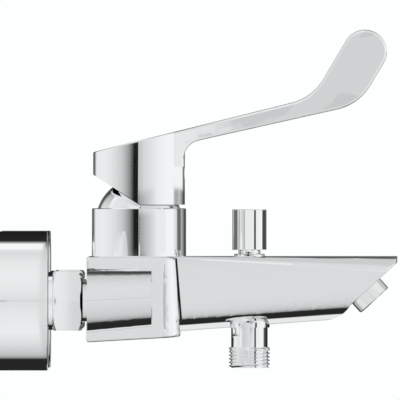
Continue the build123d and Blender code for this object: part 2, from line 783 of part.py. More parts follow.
# Grub screw that clamps the stem, and the indicator plug in front of it, both in the cap's front
screw_z = 64.5
screw_r = 2.5
plug_r = 3.4
stem_front_x = tower_x + (screw_z + screw_r - pivot_z) * math.tan(lean) + stem_side / 2 / math.cos(lean)
stem_socket_low = lever_cavity_r - 1.0
with BuildPart() as lever:
    with BuildSketch(Plane.XY.offset(cap_bottom)):
        with Locations((tower_x, 0)):
            Circle(cap_r)
    extrude(amount=45)
    cut_start = (71.5, cap_bottom)
    cut_end_x = 40.0
    cut_end_z = cap_bottom + (cut_start[0] - cut_end_x) * math.tan(math.radians(back_cut))
    with BuildSketch(Plane.XZ):
        with BuildLine():
            Polyline(cut_start, (110, cap_bottom), (110, cap_height(110)),
                     (cut_end_x, cap_height(cut_end_x)), (cut_end_x, cut_end_z), close=True)
        make_face()
    extrude(amount=30, both=True, mode=Mode.INTERSECT)
    fillet(lever.faces().sort_by(Axis.Z)[-1].edges(), radius=0.6)
    add(arm_form.part)
    # hollow: ball-shaped over the dome, then a pocket up to the top wall
    with Locations((tower_x, 0, pivot_z)):
        Sphere(lever_cavity_r, mode=Mode.SUBTRACT)
cap_wall = 3.8
cap_roof = 3.2
with BuildPart() as cap_pocket:
    with BuildSketch(Plane.XY.offset(56)):
        with Locations((tower_x, 0)):
            Circle(cap_r - cap_wall)
    extrude(amount=40)
    with BuildSketch(Plane.XZ):
        with BuildLine():
            Polyline((40, 50), (110, 50), (110, cap_height(110) - cap_roof),
                     (40, cap_height(40) - cap_roof), close=True)
        make_face()
    extrude(amount=30, both=True, mode=Mode.INTERSECT)
    with BuildSketch(stem_plane.offset(12)):
        Circle(7.6)
    extrude(amount=40, mode=Mode.SUBTRACT)
    # two ribs brace the socket
    with BuildSketch(Plane.XY.offset(50)):
        with Locations((tower_x, 0)):
            Rectangle(50, 2.4)
    extrude(amount=50, mode=Mode.SUBTRACT)
with BuildPart() as lever_whole:
    add(lever.part)
    add(cap_pocket.part, mode=Mode.SUBTRACT)
    with BuildSketch(stem_plane.offset(stem_socket_low - 6)):
        Rectangle(stem_side, stem_side)
    extrude(amount=stem_top - stem_socket_low + 6, mode=Mode.SUBTRACT)
    add(round_bar(Plane.YZ.offset(stem_front_x - 1), (0, screw_z), screw_r, 22), mode=Mode.SUBTRACT)
    add(round_bar(Plane.YZ.offset(cap_r + tower_x - 3.2), (0, screw_z), plug_r, 8), mode=Mode.SUBTRACT)
save(lever_whole, "lever")

with BuildPart() as grub_screw:
    with BuildSketch(Plane.YZ.offset(stem_front_x)):
        with Locations((0, screw_z)):
            Circle(screw_r)
    extrude(amount=7.0)
    with BuildSketch(Plane.YZ.offset(stem_front_x + 4.5)):
        with Locations((0, screw_z)):
            RegularPolygon(1.25, 6, major_radius=False)
    extrude(amount=2.5, mode=Mode.SUBTRACT)

with BuildPart() as indicator_plug:
    with BuildSketch(Plane.YZ.offset(cap_r + tower_x - 3.2)):
        with Locations((0, screw_z)):
            Circle(plug_r)
    extrude(amount=2.9)
    chamfer(indicator_plug.faces().sort_by(Axis.X)[-1].edges(), length=0.4)

# Diverter: the gland is screwed into the spout's top wall and guides the pull rod
gland_bottom = 16.0
gland_top = 34.5
collar_top = block_top + 1.2
rod_bore_r = rod_r + running_gap
gland = turned(
    [(rod_bore_r, gland_bottom), (gland_r, gland_bottom), (gland_r, block_top), (6.4, block_top),
     (6.4, block_top + 0.7), (7.2, block_top + 0.7), (7.2, block_top), (7.8, block_top),
     (7.8, collar_top - 0.3), (7.5, collar_top), (5.6, collar_top), (5.6, gland_top - 0.4),
     (5.2, gland_top), (rod_bore_r, gland_top), (rod_bore_r, 26.0), (4.05, 26.0), (4.05, 24.5),
     (rod_bore_r, 24.5)], diverter_x)

upper_seat = turned(
    [(6.4, upper_seat_z + 0.6), (7.0, upper_seat_z), (valve_bore_r, upper_seat_z),
     (valve_bore_r, upper_seat_top), (6.4, upper_seat_top)], diverter_x)

# Pull rod with a riveted foot, the valve piston on it, and one rubber washer on each face
piston_low = -6.0
piston_high = -2.0
piston_r = 8.0
washer_r = 7.8
diverter_rod = turned(
    [(0, lower_seat_z - 1.6), (3.4, lower_seat_z - 1.6), (3.6, lower_seat_z - 1.2), (3.6, lower_seat_z),
     (rod_r, lower_seat_z), (rod_r, 44.0), (0, 44.0)], diverter_x)
valve_piston = turned(
    [(rod_r, piston_low), (piston_r, piston_low), (piston_r, piston_high), (5.6, piston_high), (5.6, -0.5),
     (rod_r, -0.5)], diverter_x)
washer_low = turned([(3.0, lower_seat_z), (washer_r - 0.4, lower_seat_z), (washer_r, piston_low),
                     (rod_r, piston_low), (rod_r, lower_seat_z + 0.01)], diverter_x)
washer_high = turned([(5.6, piston_high), (washer_r, piston_high), (washer_r - 0.4, 0), (5.6, 0)],
                     diverter_x)

knob_outline = [
    (knob_r - 0.4, knob_bottom), (knob_r, knob_bottom + 0.4), (knob_r, knob_top - 0.7),
    (knob_r - 0.2, knob_top - 0.2), (knob_r - 0.7, knob_top), (0, knob_top), (0, 44.0), (rod_r, 44.0),
    (rod_r, 36.2), (5.75, 36.2), (5.75, knob_bottom)]
diverter_knob = turned(knob_outline, diverter_x)

# Hose outlet: nipple screwed into the post from below, with the check valve pushed into its lower bore
check_top = -19.0
check_r = 7.5
outlet_nipple = turned(
    [(6.5, lower_seat_z), (7.6, lower_seat_z), (valve_bore_r, lower_seat_z - 0.8),
     (valve_bore_r, hose_boss_z), (hose_neck_r, hose_boss_z), (hose_neck_r, hose_neck_z),
     (hose_thread_r, hose_neck_z), (hose_thread_r, hose_end_z + 0.8), (hose_thread_r - 0.8, hose_end_z),
     (check_r, hose_end_z), (check_r, check_top), (6.5, check_top)], diverter_x)

check_seat_low = -21.0
check_low = -33.0
guide_top = -31.6
with BuildPart() as check_valve_housing:
    with BuildSketch(Plane.XY.offset(check_low)):
        with Locations((diverter_x, 0)):
            Circle(check_r)
    extrude(amount=check_top - check_low)
    for low, radius, length in ((guide_top, 6.2, check_seat_low - guide_top), (check_seat_low, 4.4, 4.0),
                                (check_low, 1.25, 2.0)):
        add(round_bar(Plane.XY.offset(low), (diverter_x, 0), radius, length), mode=Mode.SUBTRACT)
    with BuildSketch(Plane.XY.offset(check_low)):
        with Locations((diverter_x, 0)):
            with PolarLocations(4.2, 4):
                Circle(1.5)
    extrude(amount=guide_top - check_low, mode=Mode.SUBTRACT)

check_travel = 3.0
poppet_low = -23.0
check_poppet = turned(
    [(0, guide_top - 1.6), (1.2, guide_top - 1.6), (1.2, poppet_low), (5.2, poppet_low), (5.2, -22.0),
     (4.2, check_seat_low), (0, check_seat_low)], diverter_x)

save(grub_screw, "lever_grub_screw")
save(indicator_plug, "indicator_plug")
save(gland, "diverter_gland")
save(o_ring((diverter_x, 0, block_top + 0.35), 6.8, 0.35), "gland_o_ring")
save(o_ring((diverter_x, 0, 25.25), 3.3, 0.74), "rod_seal")
save(upper_seat, "diverter_seat_ring")
save(diverter_rod, "diverter_rod")
save(valve_piston, "diverter_piston")
save(washer_low, "diverter_washer_lower")
save(washer_high, "diverter_washer_upper")
save(diverter_knob, "diverter_knob")
save(coil_spring(diverter_x, -0.5, gland_bottom, 4.0, 0.45, 6), "diverter_spring")
save(outlet_nipple, "hose_outlet_nipple")
save(o_ring((diverter_x, 0, hose_boss_z + 0.5), (valve_bore_r + seal_recess_r) / 2, 0.35), "outlet_o_ring")
save(check_valve_housing, "check_valve_housing")
save(check_poppet, "check_valve_poppet")
save(coil_spring(diverter_x, guide_top, poppet_low, 2.4, 0.35, 5), "check_valve_spring")

# Aerator: threaded housing, washer behind it, and the jet insert with its square sieve
aerator_bore_r = 7.6
aerator_housing = turned_in_aerator(
    [(aerator_bore_r, -7.0), (aerator_thread_r, -7.0), (aerator_thread_r, 0), (aerator_r, 0),
     (aerator_r, aerator_out - 0.5), (aerator_r - 0.5, aerator_out), (7.1, aerator_out),
     (7.1, aerator_out - 0.7), (aerator_bore_r, aerator_out - 0.7)])
aerator_washer = turned_in_aerator(
    [(6.4, -aerator_socket), (aerator_thread_r, -aerator_socket), (aerator_thread_r, -7.0), (6.4, -7.0)])
with BuildPart() as jet_insert:
    with BuildSketch(aerator_plane.offset(-5.0)):
        Circle(aerator_bore_r)
    extrude(amount=5.0 + aerator_out - 0.7)
    with BuildSketch(aerator_plane.offset(-5.0)):
        Circle(6.4)
    extrude(amount=9.0, mode=Mode.SUBTRACT)
    with BuildSketch(aerator_plane.offset(3.0)):
        for row in range(-2, 3):
            for column in range(-2, 3):
                if abs(row) + abs(column) < 4:
                    with Locations((row * 2.3, column * 2.3)):
                        Rectangle(1.7, 1.7)
    extrude(amount=4.0, mode=Mode.SUBTRACT)

save(aerator_housing, "aerator_housing")
save(aerator_washer, "aerator_washer")
save(jet_insert, "aerator_insert")
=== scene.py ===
import math

import bmesh
import bpy
import numpy as np
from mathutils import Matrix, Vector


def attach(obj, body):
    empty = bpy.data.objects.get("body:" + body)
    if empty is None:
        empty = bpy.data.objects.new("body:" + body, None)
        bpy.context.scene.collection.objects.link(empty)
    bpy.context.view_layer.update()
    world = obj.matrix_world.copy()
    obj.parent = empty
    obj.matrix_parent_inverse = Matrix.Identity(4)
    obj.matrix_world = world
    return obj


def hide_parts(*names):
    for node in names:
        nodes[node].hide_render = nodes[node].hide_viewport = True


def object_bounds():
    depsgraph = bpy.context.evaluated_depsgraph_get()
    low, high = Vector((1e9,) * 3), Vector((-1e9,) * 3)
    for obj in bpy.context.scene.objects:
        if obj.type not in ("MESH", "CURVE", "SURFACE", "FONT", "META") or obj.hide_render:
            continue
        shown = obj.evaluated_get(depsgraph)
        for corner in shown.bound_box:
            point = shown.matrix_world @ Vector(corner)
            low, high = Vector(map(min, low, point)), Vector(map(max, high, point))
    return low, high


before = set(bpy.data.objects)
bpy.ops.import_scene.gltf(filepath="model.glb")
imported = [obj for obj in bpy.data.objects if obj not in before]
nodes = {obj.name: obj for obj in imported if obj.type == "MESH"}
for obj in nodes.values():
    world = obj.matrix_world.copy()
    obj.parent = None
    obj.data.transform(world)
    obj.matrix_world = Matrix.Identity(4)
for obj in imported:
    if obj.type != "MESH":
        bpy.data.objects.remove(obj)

cad_low, cad_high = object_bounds()
scene = bpy.context.scene

# Camera. A long lens looks square at the mixer's side, as a catalogue picture does, and takes in the mixer
# from the wall to the tip of its lever.
frame_width = 0.204
view_centre = (0.102, 0.0, 0.051)
sensor_mm = 36.0
lens_mm = 1500.0
distance = frame_width * lens_mm / sensor_mm

camera = bpy.data.objects.new("camera", bpy.data.cameras.new("camera"))
camera.data.lens = lens_mm
camera.data.sensor_width = sensor_mm
camera.data.clip_end = 3 * distance
camera.location = (view_centre[0], view_centre[1] - distance, view_centre[2])
camera.rotation_euler = (math.radians(90), 0, 0)
scene.collection.objects.link(camera)
scene.camera = camera
scene.view_settings.view_transform = "Standard"


# Studio: a pale tent with a dark flag beside the lens, and a dark ceiling, back wall and ground. Polished
# chrome shows little but its room, so the room's tones draw the bands along the curved surfaces.
class Signal:
    """One socket of a shader tree; arithmetic between signals and numbers adds Math nodes to the tree."""

    def __init__(self, tree, socket=None):
        self.tree = tree
        self.socket = socket

    def node(self, kind, settings=None, output=0, inputs=None):
        """Add a node of any kind: its settings first, then the values or links of its sockets by name or
        place. Returns the signal of one of its outputs."""
        made = self.tree.nodes.new(kind)
        for key, value in (settings or {}).items():
            if key == "stops":
                ramp = made.color_ramp.elements
                while len(ramp) < len(value):
                    ramp.new(0.5)
                for stop, (place, colour) in zip(ramp, value):
                    stop.position = place
                    stop.color = (*colour, 1)
            else:
                setattr(made, key, value)
        for key, value in (inputs or {}).items():
            if isinstance(value, Signal):
                self.tree.links.new(value.socket, made.inputs[key])
            else:
                made.inputs[key].default_value = value
        return Signal(self.tree, made.outputs[output]) if made.outputs else None

    def math(self, operation, *values):
        return self.node("ShaderNodeMath", {"operation": operation}, inputs=dict(enumerate(values)))

    def __add__(self, other):
        return self.math("ADD", self, other)

    def __sub__(self, other):
        return self.math("SUBTRACT", self, other)

    def __rsub__(self, other):
        return self.math("SUBTRACT", other, self)

    def __mul__(self, other):
        return self.math("MULTIPLY", self, other)

    def __truediv__(self, other):
        return self.math("DIVIDE", self, other)

    __radd__ = __add__
    __rmul__ = __mul__

    def step(self, low, high):
        """0 below low, 1 above high, and a smooth slope between; falls instead of rising if low > high."""
        return self.node("ShaderNodeMapRange", {"interpolation_type": "SMOOTHSTEP"},
                         inputs={"Value": self, "From Min": low, "From Max": high})

    def between(self, low, high, soft):
        """1 from low to high, and 0 outside, with slopes of the given width."""
        return self.step(low - soft, low) * self.step(high + soft, high)

    def tones(self, stops):
        """Brightness read from (degrees, tone) stops, for an angle in radians."""
        first, last = stops[0][0], stops[-1][0]
        turn = self * (math.degrees(1) / (last - first)) - first / (last - first)
        levels = [((angle - first) / (last - first), (tone, tone, tone)) for angle, tone in stops]
        return turn.node("ShaderNodeValToRGB", {"stops": levels}, inputs={"Fac": turn})

    def part(self, output):
        """Another output of the node that this signal comes from."""
        return Signal(self.tree, self.socket.node.outputs[output])


degree = math.radians(1)
# Tones by angle in degrees from the camera, which is at 0. Round the mixer, with the left negative: all the
# way, behind the lever at the right, and in front, where the flag stands beside the lens.
tent_tones = [
    (-180, 0.10), (-148, 0.13), (-134, 0.86), (-96, 0.88), (-76, 0.82), (-58, 0.73), (-43, 0.62),
    (-25, 0.68), (-5, 0.74), (6, 0.75), (30, 0.82), (42, 0.86), (58, 0.91), (76, 0.95), (96, 0.95),
    (102, 0.42), (115, 0.40), (121, 0.57), (133, 0.37), (148, 0.08), (180, 0.06)]
back_tones = [(88, 0.95), (141, 0.93), (147, 0.19), (180, 0.17)]
flag_tones = [
    (-45, 0.63), (-42, 0.60), (-32, 0.46), (-27, 0.36), (-22, 0.27), (-16.5, 0.11), (-13, 0.06), (0, 0.10),
    (1, 0.33), (7, 0.41), (17, 0.54), (27, 0.64), (40, 0.79), (45, 0.86)]
# From the back wall down over the ground to the camera and on over the ceiling, with the ground negative: the
# same for most of the studio, and at its end by the covers.
arch_tones = [
    (-180, 0.60), (-168, 0.86), (-161, 0.70), (-158, 0.02), (-113, 0.02), (-108, 0.30), (-102, 0.45),
    (-93, 0.56), (-84, 0.62), (-71, 0.66), (-52, 0.70), (-30, 0.73), (0, 0.74), (41, 0.76), (67, 0.72),
    (88, 0.64), (97, 0.60), (108, 0.16), (116, 0.06), (122, 0.045), (129, 0.17), (180, 0.19)]
wall_arch_tones = [
    (-180, 0.02), (-113, 0.02), (-108, 0.34), (-102, 0.52), (-93, 0.62), (-84, 0.70), (-71, 0.79),
    (-52, 0.88), (-20, 0.84), (0, 0.76), (20, 0.84), (41, 0.88), (67, 0.84), (86, 0.74), (93, 0.78),
    (98, 0.97), (109, 0.97), (115, 0.24), (119, 0.02), (162, 0.01), (180, 0.10)]
flag_black = 0.012
ground_lean = 24 * degree

world = bpy.data.worlds.new("studio")
scene.world = world
world.use_nodes = True
world.node_tree.nodes.clear()
air = Signal(world.node_tree)
direction = air.node("ShaderNodeTexCoord", output="Generated")
across = air.node("ShaderNodeSeparateXYZ", output="X", inputs={"Vector": direction})
upward = across.part("Z")
ahead = 0 - across.part("Y")
around = air.math("ARCTAN2", across, ahead)
above = air.math("ARCTAN2", upward, ahead)

# An upright surface mirrors directions that rise with its own height, so each part has a range of its own:
# the hose outlet's neck, the spout and block, then the tower, and above it the lever. The covers lie furthest
# to the left.
by_spout = 1 - upward.step(-0.0035, -0.0032)
by_lever = upward.step(0.0002, 0.0007)
by_neck = upward.step(-0.0070, -0.0076) * upward.step(-0.020, -0.015)
by_wall = across.step(-0.0076, -0.0082)

# Over and under the mixer. The ground is dark from closer in under faces that turn towards the spout's end:
# the slope along X of a surface that mirrors a direction to the camera is across / sqrt(2 (1 + ahead)).
slope = across / air.math("SQRT", 2 * (1 + ahead) + 1e-6)
lean_in = (0 - upward).step(0.0, 0.1) * slope.step(0.02, 0.06) * ground_lean
arch = (above - lean_in).tones(arch_tones) * (1 - by_wall) + above.tones(wall_arch_tones) * by_wall

# The flag hides the tent at the height of the lens, but not from the flat faces that are square to it.
square_to_lens = around.between(-0.45 * degree, 2.4 * degree, 0.1 * degree)
right_of_lens = around.step(-0.45 * degree, -0.35 * degree)
slit = around.between(-0.75 * degree, -0.05 * degree, 0.03 * degree)
flag_place = (upward.between(-0.005, 0.0046, 0.0004) * around.between(-43 * degree, 43 * degree, 0.01)
              * (1 - square_to_lens * by_spout) * (1 - 0.8 * right_of_lens * by_lever) * (1 - slit))
black = around.between(-12.6 * degree, 0.7 * degree, 0.5 * degree)
flag = around.tones(flag_tones) * (1 - black) + flag_black * black

# Round the mixer: the tent, its back behind the lever, and two dark strips behind the hose outlet.
tent = around.tones(tent_tones) * (1 - flag_place) + flag * flag_place
behind_lever = by_lever * around.step(89 * degree, 91 * degree)
tent = tent * (1 - behind_lever) + around.tones(back_tones) * behind_lever
strips = around.step(104 * degree, 110 * degree) + around.step(-122 * degree, -127 * degree)
tent = tent * (1 - 0.9 * by_neck * strips)

# The arch takes over where a direction rises or falls more than it goes sideways. Two soft shades lie on the
# lever's arm and on the block's corner.
steep = upward * upward / (across * across + upward * upward + 1e-6) * (1 - flag_place)
shade_low = (upward.step(-0.0042, -0.0056) * upward.step(-0.0081, -0.0075)
             * around.between(4 * degree, 16 * degree, 2 * degree))
shade_arm = by_lever * upward.step(0.03, 0.02) * around.between(-2 * degree, 9 * degree, 2 * degree)
room = (tent * (1 - steep) + arch * steep) * (1 - 0.09 * shade_arm) * (1 - 0.5 * shade_low)

# The camera sees a white backdrop, chrome mirrors the room, and dull surfaces are lit evenly.
paths = air.node("ShaderNodeLightPath", output="Is Camera Ray")
seen = air.math("MAXIMUM", paths, paths.part("Is Transmission Ray"))
glossy = paths.part("Is Glossy Ray")
even_light = 0.8
level = seen + (1 - seen) * (glossy * room + (1 - glossy) * even_light)
sky = air.node("ShaderNodeBackground", inputs={"Color": (0.985, 0.995, 1.0, 1), "Strength": level})
air.node("ShaderNodeOutputWorld", inputs={"Surface": sky})


# Eccentric wall unions: turned brass, left raw. The pipe thread goes into the wall, an offset cone brings the
# bore up to the mixer's height, and the finer thread at the inner end takes the union nut.
def material(name):
    """New material with a Principled shader; returns it, its shader node and its Object coordinates."""
    made = bpy.data.materials.new(name)
    made.use_nodes = True
    place = Signal(made.node_tree).node("ShaderNodeTexCoord", output="Object")
    return made, made.node_tree.nodes["Principled BSDF"], place


def set_sockets(shader, values):
    """Give a shader's sockets their constants, or link a signal to them."""
    for key, value in values.items():
        if isinstance(value, Signal):
            value.tree.links.new(value.socket, shader.inputs[key])
        else:
            shader.inputs[key].default_value = value


def clouds(place, scale, detail):
    """Noise pattern on the piece's own coordinates; scale is in clouds per metre, roughly."""
    return place.node("ShaderNodeTexNoise", inputs={"Vector": place, "Scale": scale, "Detail": detail})


def mixed(share, first, second):
    """Colour that goes from the first to the second as the share goes from 0 to 1."""
    return share.node("ShaderNodeMix", {"data_type": "RGBA"}, output=2,
                      inputs={0: share, 6: (*first, 1), 7: (*second, 1)})


def fine_relief(pattern, strength, depth):
    """Relief too fine for the mesh, for a shader's Normal."""
    return pattern.node("ShaderNodeBump", inputs={"Strength": strength, "Distance": depth, "Height": pattern})


def finished(name, mesh, made, body):
    """Object for a mesh: smooth faces with crisp creases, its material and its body."""
    piece = bpy.data.objects.new(name, mesh)
    scene.collection.objects.link(piece)
    mesh.materials.clear()
    mesh.materials.append(made)
    mesh.polygons.foreach_set("use_smooth", np.ones(len(mesh.polygons), dtype=bool))
    mesh.set_sharp_from_angle(angle=math.radians(26))
    shade = piece.modifiers.new("shade", "WEIGHTED_NORMAL")
    shade.keep_sharp = True
    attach(piece, body)
    return piece


def tube_mesh(name, points):
    """Mesh of quads over a grid of points whose rows and columns both close: corner (i, j) joins (i + 1, j)
    and (i, j + 1), and the last ones join the first. Doubles are merged and the faces turned outwards."""
    rows, columns = points.shape[:2]
    i = np.arange(rows)[:, None]
    j = np.arange(columns)[None, :]
    after_i = (i + 1) % rows
    after_j = (j + 1) % columns
    quads = np.stack([i * columns + j, i * columns + after_j, after_i * columns + after_j,
                      after_i * columns + j], axis=-1).reshape(-1, 4)
    mesh = bpy.data.meshes.new(name)
    mesh.from_pydata(points.reshape(-1, 3), [], quads.tolist())
    work = bmesh.new()
    work.from_mesh(mesh)
    bmesh.ops.remove_doubles(work, verts=work.verts, dist=1e-7)
    bmesh.ops.recalc_face_normals(work, faces=work.faces)
    work.to_mesh(mesh)
    work.free()
    return mesh


def thread_depth(along, q, start, end, pitch, depth):
    """How far a thread is cut in at a place along the axis and an angle q: depth times the distance of
    along / pitch - q / (2 pi) from its nearest whole number, doubled and flattened at crest and root, and
    faded out within one pitch of start and end."""
    phase = along / pitch - q / (2 * np.pi)
    cut = np.clip(np.abs((phase - np.round(phase)) * 2) * 1.5 - 0.25, 0, 1)
    fade = np.clip((along - start) / pitch, 0, 1) * np.clip((end - along) / pitch, 0, 1)
    return depth * cut * fade


mm = 0.001
inlet_y = 75 * mm
wall_drop = 6 * mm
wall_end = -18 * mm
wall_thread_top = 0.4 * mm
cone_start = 3 * mm
cone_end = 13 * mm
inner_end = 29 * mm
pipe_radius = 10.48 * mm
pipe_pitch = 1.814 * mm
pipe_cut = 1.1 * mm
hub_radius = 11.68 * mm
nut_thread_radius = 13.2 * mm
nut_thread_start = 15 * mm
nut_thread_end = 30.5 * mm
nut_pitch = 1.4 * mm
nut_cut = 0.8 * mm
wall_bore = 7.5 * mm
inner_bore = 9 * mm

raw_brass, shader, place = material("raw_brass")
turning_lines = place.node("ShaderNodeTexWave", {"bands_direction": "X"},
                           inputs={"Vector": place, "Scale": 900.0, "Distortion": 0.6, "Detail": 2.0})
stain = clouds(place, 55.0, 4.0)
set_sockets(shader, {"Base Color": mixed(stain, (0.60, 0.43, 0.17), (0.80, 0.62, 0.30)), "Metallic": 1.0,
                     "Roughness": 0.24 + 0.16 * stain, "Normal": fine_relief(turning_lines, 0.12, 0.1 * mm)})


def union_surface(side):
    """Tube of circles along X. At x the outside has the radius r(x) about the height z(x), both straight
    between the stations of the outline, less the thread's depth; the bore follows in the same way."""
    stations = np.array([
        # x, outer radius, height of the centre
        (wall_end, 9.2 * mm, -wall_drop), (wall_end + 1.1 * mm, 10.4 * mm, -wall_drop),
        (wall_thread_top, pipe_radius, -wall_drop), (wall_thread_top + 0.2 * mm, 11.6 * mm, -wall_drop),
        (cone_start, hub_radius, -wall_drop), (cone_end, nut_thread_radius, 0),
        (cone_end + 1 * mm, nut_thread_radius, 0), (inner_end, nut_thread_radius, 0)])
    x, outer, middle = stations.T
    rings = np.unique(np.concatenate([np.arange(wall_end, inner_end, 0.3 * mm), x]))
    q = np.linspace(0, 2 * np.pi, 96, endpoint=False)[None, :]
    along = rings[:, None]
    radius = np.interp(along, x, outer)
    height = np.interp(along, x, middle)
    radius = radius - thread_depth(along, q, wall_end, 0, pipe_pitch, pipe_cut)
    radius = radius - thread_depth(along, q, nut_thread_start, nut_thread_end, nut_pitch, nut_cut)
    bore = np.array([(inner_end, inner_bore, 0), (cone_end, inner_bore, 0),
                     (cone_start, wall_bore, -wall_drop), (wall_end, wall_bore, -wall_drop)])
    along = np.concatenate([along, bore[:, :1]]) + 0 * q
    radius = np.concatenate([radius, bore[:, 1:2] + 0 * q])
    height = np.concatenate([height, bore[:, 2:]])
    return np.stack([along, side * inlet_y + radius * np.cos(q), height + radius * np.sin(q)], axis=-1)


sides = ((1, "left"), (-1, "right"))
for side, name in sides:
    mesh = tube_mesh("wall_union_" + name, union_surface(side))
    union = finished("wall_union_" + name, mesh, raw_brass, "body")
    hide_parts("eccentric_union_" + name)


# Inlet washers and strainers: a flat ring of black rubber between union and nipple, with a round sieve of
# stainless steel, pressed from sheet, in its middle.
def keep_node(name, made):
    """Give a CAD node its finish; its shape stays as it is."""
    nodes[name].data.materials.clear()
    nodes[name].data.materials.append(made)


black_rubber, shader, place = material("black_rubber")
grain = clouds(place, 900.0, 3.0)
bloom = clouds(place, 120.0, 2.0)
set_sockets(shader, {"Base Color": mixed(bloom, (0.012, 0.012, 0.013), (0.045, 0.044, 0.043)),
                     "Roughness": 0.55 + 0.25 * grain, "Normal": fine_relief(grain, 0.3, 0.1 * mm)})

steel, shader, place = material("drawn_steel")
stretched = place.node("ShaderNodeMapping", inputs={"Vector": place, "Scale": (1.0, 1.0, 0.08)})
draw_marks = clouds(stretched, 2600.0, 3.0)
set_sockets(shader, {"Base Color": mixed(draw_marks, (0.50, 0.50, 0.51), (0.72, 0.72, 0.73)), "Metallic": 1.0,
                     "Roughness": 0.2 + 0.2 * draw_marks, "Normal": fine_relief(draw_marks, 0.1, 0.05 * mm)})

for side, name in sides:
    keep_node("inlet_washer_" + name, black_rubber)
    keep_node("inlet_strainer_" + name, steel)


# Escutcheons: deep round covers drawn from sheet brass and chrome plated. They slide on the union's thread
# and hide the hole in the wall; the front edge is drawn to a small radius.
def broken_edges(corners, softness, steps=4):
    """Closed outline with its corners rounded. Each corner c is replaced by the curve
    (1-t)^2 (c + a) + 2t(1-t) c + t^2 (c + b), where a and b reach softness towards both neighbours, but no
    more than 0.45 of the way."""
    corners = np.asarray(corners, dtype=float)
    before = np.roll(corners, 1, axis=0) - corners
    after = np.roll(corners, -1, axis=0) - corners
    size_before = np.linalg.norm(before, axis=1, keepdims=True)
    size_after = np.linalg.norm(after, axis=1, keepdims=True)
    start = corners + before / size_before * np.minimum(softness, 0.45 * size_before)
    end = corners + after / size_after * np.minimum(softness, 0.45 * size_after)
    t = np.linspace(0, 1, steps + 1)[None, :, None]
    curve = (1 - t) ** 2 * start[:, None] + 2 * t * (1 - t) * corners[:, None] + t ** 2 * end[:, None]
    return curve.reshape(-1, 2)


def turned(outline, centre, axis, segments=96):
    """Surface of a closed (along, radius) outline turned about an axis through centre: the point at angle q
    is centre + along * axis + radius * (cos q * u + sin q * v), with u and v square to the axis."""
    axis = np.asarray(axis, dtype=float)
    u = np.cross(axis, (0.0, 1.0, 0.0))
    v = np.cross(axis, u)
    q = np.linspace(0, 2 * np.pi, segments, endpoint=False)[None, :, None]
    along = outline[:, 0][:, None, None]
    radius = outline[:, 1][:, None, None]
    return np.asarray(centre) + along * axis + radius * (np.cos(q) * u + np.sin(q) * v)


chrome, shader, place = material("chrome_plate")
smudge = clouds(place, 70.0, 3.0)
film = clouds(place, 9.0, 2.0)
set_sockets(shader, {"Base Color": mixed(film, (0.93, 0.94, 0.95), (0.96, 0.965, 0.965)), "Metallic": 1.0,
                     "Roughness": 0.006 + 0.01 * smudge})

cover_radius = 35.2 * mm
cover_depth = 25.2 * mm
cover_sheet = 1.2 * mm
cover_hole = 13.25 * mm
cover_edge = 0.5 * mm
inside_radius = cover_radius - cover_sheet
inside_depth = cover_depth - cover_sheet
cover_outline = broken_edges([
    (0, inside_radius), (0, cover_radius), (cover_depth, cover_radius), (cover_depth, cover_hole),
    (inside_depth, cover_hole), (inside_depth, inside_radius)], cover_edge)
for side, name in sides:
    points = turned(cover_outline, (0, side * inlet_y, 0), (1, 0, 0), segments=160)
    mesh = tube_mesh("escutcheon_cover_" + name, points)
    cover = finished("escutcheon_cover_" + name, mesh, chrome, "body")
    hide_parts("escutcheon_" + name)


# Union nuts and inlet nipples: hexagon nuts turned from bar, plated, with the corners taken off on the
# lathe. The nipple's flange sits inside the nut, and its thread goes into the body.
for side, name in sides:
    keep_node("union_nut_" + name, chrome)
    keep_node("inlet_nipple_" + name, chrome)

# Valve body: one brass casting, ground, polished and chrome plated. The cross bar joins the elbows behind the
# centre block, the tower takes the cartridge, and the spout carries the diverter and the aerator. A dark line
# of painted shade is coloured into the crease between the block's rounded corner and the spout.
crease_x = 89.95 * mm
crease_height = 20 * mm
crease_lean = 0.083
crease_soft = 0.15 * mm

body_chrome, shader, place = material("body_chrome")
smudge = clouds(place, 70.0, 3.0)
along = place.node("ShaderNodeSeparateXYZ", output="X", inputs={"Vector": place})
height = along.part("Z")
# Painted shade along the crease: a strip under 1 mm wide, between the heights below, turns the base colour
# nearly black and the chrome rougher.
from_crease = along - (crease_x - (height - crease_height) * crease_lean)
painted_crease_shade = (from_crease.between(-0.55 * mm, 0.4 * mm, crease_soft) * height.step(21.6 * mm, 21.2 * mm)
         * height.step(-10.6 * mm, -9.8 * mm))
set_sockets(shader, {"Base Color": mixed(painted_crease_shade, (0.945, 0.952, 0.958), (0.02, 0.021, 0.02)), "Metallic": 1.0,
                     "Roughness": 0.006 + 0.01 * smudge + 0.3 * painted_crease_shade})
keep_node("valve_body", body_chrome)

# Cartridge: white engineering plastic round two lapped ceramic discs, with rubber seals and a steel spindle,
# held down in the tower by a turned brass ring nut.
white_plastic, shader, place = material("white_plastic")
flow = clouds(place, 160.0, 3.0)
set_sockets(shader, {"Base Color": mixed(flow, (0.74, 0.74, 0.71), (0.84, 0.84, 0.82)),
                     "Roughness": 0.34 + 0.2 * flow, "Normal": fine_relief(flow, 0.15, 0.1 * mm)})

ceramic, shader, place = material("lapped_ceramic")
speck = clouds(place, 1400.0, 2.0)
set_sockets(shader, {"Base Color": mixed(speck, (0.82, 0.81, 0.77), (0.92, 0.92, 0.90)),
                     "Roughness": 0.12 + 0.1 * speck})

for name in ("cartridge_base", "cartridge_housing", "disc_carrier", "turning_core", "temperature_stop_ring"):
    keep_node(name, white_plastic)
for name in ("port_seals", "disc_seals"):
    keep_node(name, black_rubber)
for name in ("fixed_disc", "moving_disc"):
    keep_node(name, ceramic)
for name in ("spindle_pin", "lever_spindle"):
    keep_node(name, steel)
keep_node("cartridge_nut", raw_brass)

# Dome cap: a round cap of thin spun brass, chrome plated, which is screwed into the top of the tower and
# hides the ring nut. The lever's cap rides over it.
keep_node("dome_cap", chrome)

